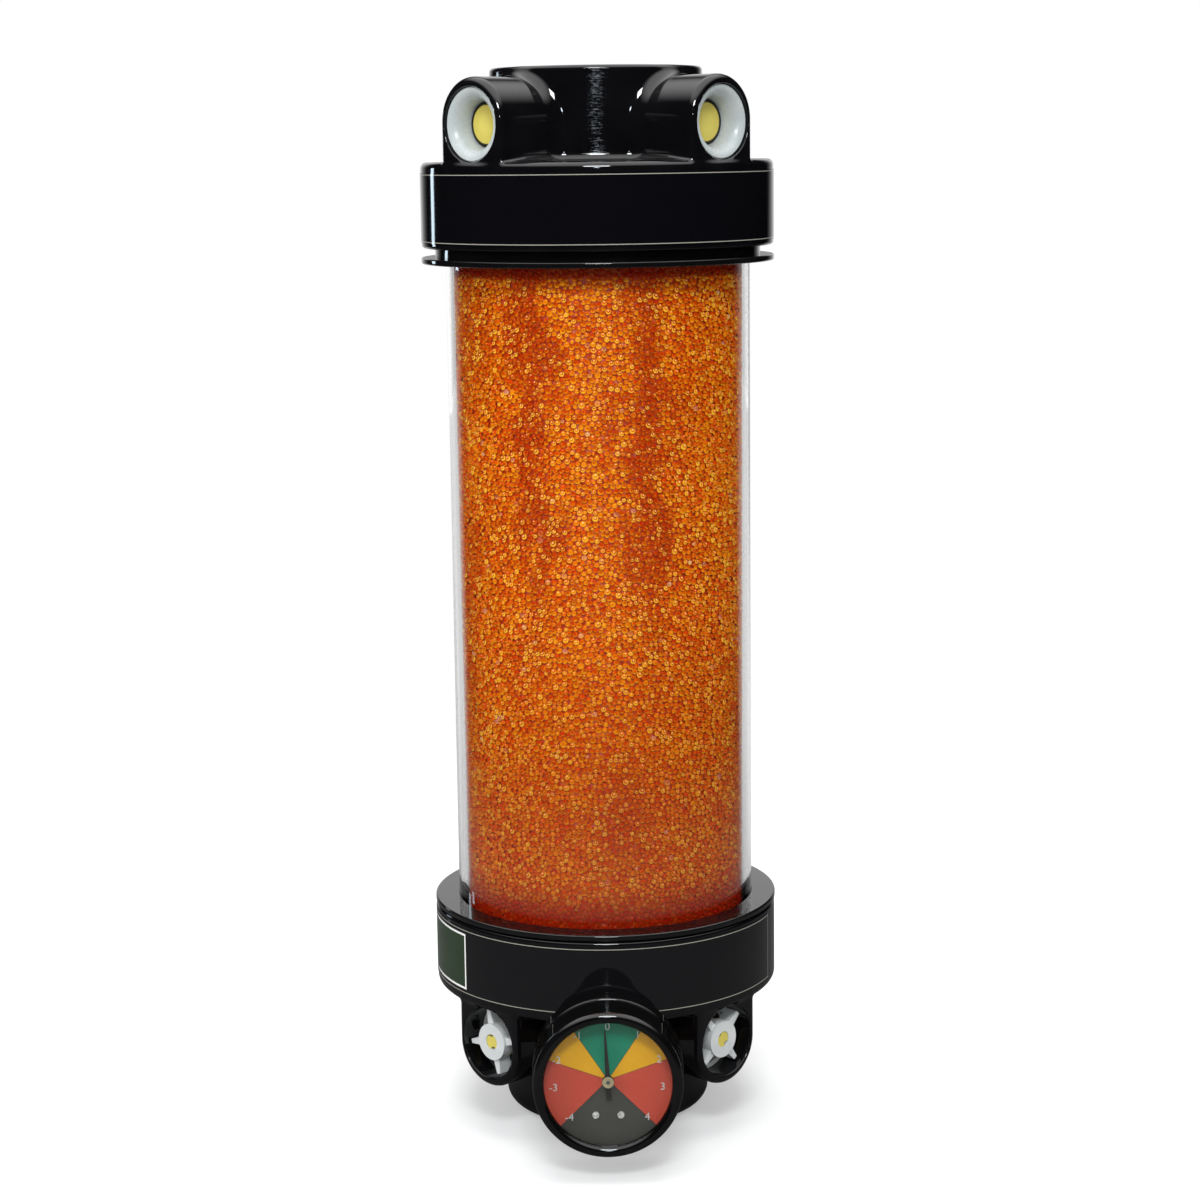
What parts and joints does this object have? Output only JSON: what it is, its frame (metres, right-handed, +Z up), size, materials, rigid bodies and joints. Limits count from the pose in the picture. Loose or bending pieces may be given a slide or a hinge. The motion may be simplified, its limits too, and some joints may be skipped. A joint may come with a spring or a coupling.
{
  "type": "silica gel breather",
  "caption": "Dehydrating breather: a clear tube of amber drying beads between glossy black caps with check valves in their ports, and a round compound gauge near the foot.",
  "frame": {"origin": "centre of the tank port's mouth, in the flat foot of the bottom cap", "axes": "+Z up along the tube, -Y towards the gauge, +X to the right of someone facing the gauge"},
  "size_m": [0.1474, 0.1787, 0.445],
  "materials": {
    "cap_moulding": "high gloss black moulding",
    "seal": "matt black rubber",
    "clear_tube": "clear polished plastic",
    "gel": "amber beads",
    "filter_pad": "white felt",
    "screen": "perforated plate",
    "label_film": "glossy dark film",
    "valve_seat": "white moulding",
    "valve_guide": "milky moulding",
    "poppet": "pale yellow moulding",
    "spring_wire": "bright wire",
    "socket_brass": "turned brass",
    "gauge_black": "gloss black",
    "gauge_glass": "clear lens",
    "dial_print": "printed colour fields",
    "small_steel": "bright steel",
    "needle_black": "black"
  },
  "bodies": {
    "housing": {"bottom_cap": "cap_moulding", "top_cap": "cap_moulding", "bottom_collar": "cap_moulding", "top_collar": "cap_moulding", "bottom_seal_ring": "seal", "top_seal_ring": "seal", "tube": "clear_tube", "silica_gel": "gel", "lower_pad": "filter_pad", "upper_pad": "filter_pad", "lower_screen": "screen", "upper_screen": "screen", "bottom_label": "label_film", "top_label": "label_film", "inlet_seat_front_left": "valve_seat", "inlet_seat_front_right": "valve_seat", "inlet_seat_back_left": "valve_seat", "inlet_seat_back_right": "valve_seat", "inlet_guide_front_left": "valve_guide", "inlet_guide_front_right": "valve_guide", "inlet_guide_back_left": "valve_guide", "inlet_guide_back_right": "valve_guide", "inlet_spring_front_left": "spring_wire", "inlet_spring_front_right": "spring_wire", "inlet_spring_back_left": "spring_wire", "inlet_spring_back_right": "spring_wire", "outlet_seat_front_left": "valve_seat", "outlet_seat_front_right": "valve_seat", "outlet_seat_back_left": "valve_seat", "outlet_seat_back_right": "valve_seat", "outlet_guide_front_left": "valve_guide", "outlet_guide_front_right": "valve_guide", "outlet_guide_back_left": "valve_guide", "outlet_guide_back_right": "valve_guide", "outlet_spring_front_left": "spring_wire", "outlet_spring_front_right": "spring_wire", "outlet_spring_back_left": "spring_wire", "outlet_spring_back_right": "spring_wire", "valve_seal_rings": "seal", "gauge_socket": "socket_brass", "gauge_case": "gauge_black", "gauge_bezel": "gauge_black", "gauge_lens": "gauge_glass", "lens_gasket": "seal", "gauge_dial": "dial_print", "dial_screws": "small_steel", "bourdon_tube": "socket_brass", "movement_plate": "socket_brass"},
    "inlet_poppet_front_left_body": {"inlet_poppet_front_left": "poppet"},
    "inlet_poppet_front_right_body": {"inlet_poppet_front_right": "poppet"},
    "inlet_poppet_back_left_body": {"inlet_poppet_back_left": "poppet"},
    "inlet_poppet_back_right_body": {"inlet_poppet_back_right": "poppet"},
    "outlet_poppet_front_left_body": {"outlet_poppet_front_left": "poppet"},
    "outlet_poppet_front_right_body": {"outlet_poppet_front_right": "poppet"},
    "outlet_poppet_back_left_body": {"outlet_poppet_back_left": "poppet"},
    "outlet_poppet_back_right_body": {"outlet_poppet_back_right": "poppet"},
    "needle": {"gauge_needle": "needle_black", "gauge_arbor": "small_steel"}
  },
  "joints": [
    {"name": "inlet_poppet_front_left_slide", "type": "slide", "parent": "housing", "child": "inlet_poppet_front_left_body", "axis": [0.7071, 0.7071, 0], "range_m": [0, 0.0025], "stiffness_N_per_m": 60, "springref_m": -0.003, "deforming": ["inlet_spring_front_left"]},
    {"name": "inlet_poppet_front_right_slide", "type": "slide", "parent": "housing", "child": "inlet_poppet_front_right_body", "axis": [-0.7071, 0.7071, 0], "range_m": [0, 0.0025], "stiffness_N_per_m": 60, "springref_m": -0.003, "deforming": ["inlet_spring_front_right"]},
    {"name": "inlet_poppet_back_left_slide", "type": "slide", "parent": "housing", "child": "inlet_poppet_back_left_body", "axis": [0.7071, -0.7071, 0], "range_m": [0, 0.0025], "stiffness_N_per_m": 60, "springref_m": -0.003, "deforming": ["inlet_spring_back_left"]},
    {"name": "inlet_poppet_back_right_slide", "type": "slide", "parent": "housing", "child": "inlet_poppet_back_right_body", "axis": [-0.7071, -0.7071, 0], "range_m": [0, 0.0025], "stiffness_N_per_m": 60, "springref_m": -0.003, "deforming": ["inlet_spring_back_right"]},
    {"name": "outlet_poppet_front_left_slide", "type": "slide", "parent": "housing", "child": "outlet_poppet_front_left_body", "axis": [-0.7071, -0.7071, 0], "range_m": [0, 0.0025], "stiffness_N_per_m": 60, "springref_m": -0.003, "deforming": ["outlet_spring_front_left"]},
    {"name": "outlet_poppet_front_right_slide", "type": "slide", "parent": "housing", "child": "outlet_poppet_front_right_body", "axis": [0.7071, -0.7071, 0], "range_m": [0, 0.0025], "stiffness_N_per_m": 60, "springref_m": -0.003, "deforming": ["outlet_spring_front_right"]},
    {"name": "outlet_poppet_back_left_slide", "type": "slide", "parent": "housing", "child": "outlet_poppet_back_left_body", "axis": [-0.7071, 0.7071, 0], "range_m": [0, 0.0025], "stiffness_N_per_m": 60, "springref_m": -0.003, "deforming": ["outlet_spring_back_left"]},
    {"name": "outlet_poppet_back_right_slide", "type": "slide", "parent": "housing", "child": "outlet_poppet_back_right_body", "axis": [0.7071, 0.7071, 0], "range_m": [0, 0.0025], "stiffness_N_per_m": 60, "springref_m": -0.003, "deforming": ["outlet_spring_back_right"]},
    {"name": "needle_turn", "type": "hinge", "parent": "housing", "child": "needle", "pos_m": [0, -0.0975, 0.0415], "axis": [0, -1, 0], "range_deg": [-138, 132], "stiffness_Nm_per_rad": 0.0001}
  ]
}
